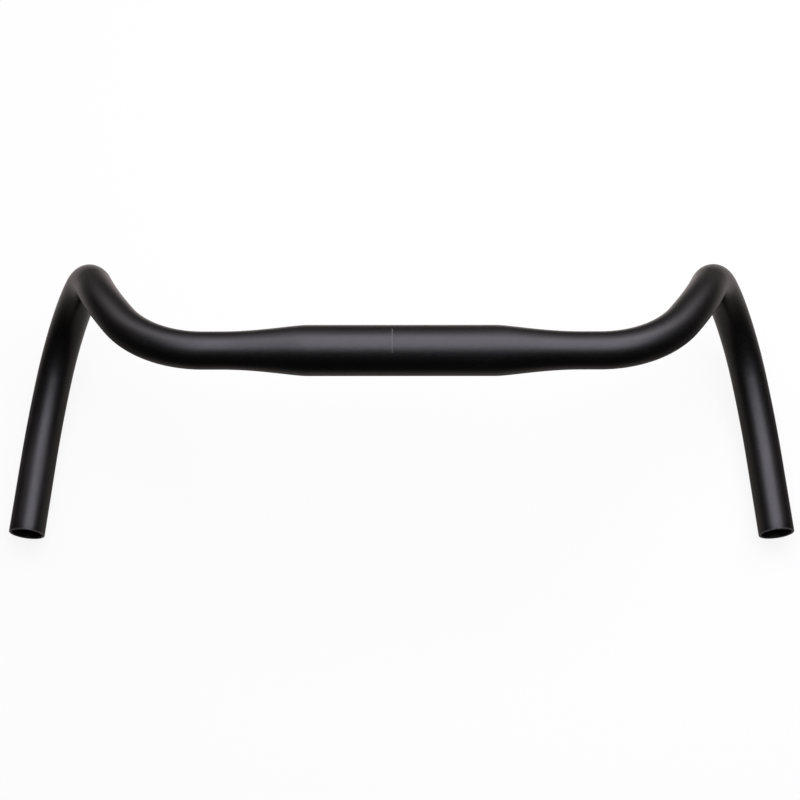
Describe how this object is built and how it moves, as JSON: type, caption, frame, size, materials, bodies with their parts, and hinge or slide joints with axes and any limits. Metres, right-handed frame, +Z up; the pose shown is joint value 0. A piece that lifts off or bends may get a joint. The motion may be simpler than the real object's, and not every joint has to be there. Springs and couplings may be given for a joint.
{
  "type": "drop handlebar",
  "caption": "Flared drop handlebar of butted and bent aluminium tube, with a thick clamp area, tapered tops, deep hooks and open drop ends that splay outwards.",
  "frame": {"origin": "middle of the clamp area, on its axis", "axes": "+X to the rider's right along the clamp area, +Y forward, away from the rider, +Z up, with the drop ends level"},
  "size_m": [0.525, 0.1647, 0.1583],
  "materials": {
    "black_anodised": "satin black anodised over a fine blasted surface",
    "mark_paint": "matt light grey paint in an engraved line"
  },
  "bodies": {
    "root": {"clamp_section": "black_anodised", "centre_mark": "mark_paint", "left_taper": "black_anodised", "left_top": "black_anodised", "left_shoulder": "black_anodised", "left_outer_shoulder": "black_anodised", "left_ramp": "black_anodised", "left_hook": "black_anodised", "left_lower_hook": "black_anodised", "left_drop": "black_anodised", "left_drop_end": "black_anodised", "right_taper": "black_anodised", "right_top": "black_anodised", "right_shoulder": "black_anodised", "right_outer_shoulder": "black_anodised", "right_ramp": "black_anodised", "right_hook": "black_anodised", "right_lower_hook": "black_anodised", "right_drop": "black_anodised", "right_drop_end": "black_anodised"}
  },
  "joints": []
}
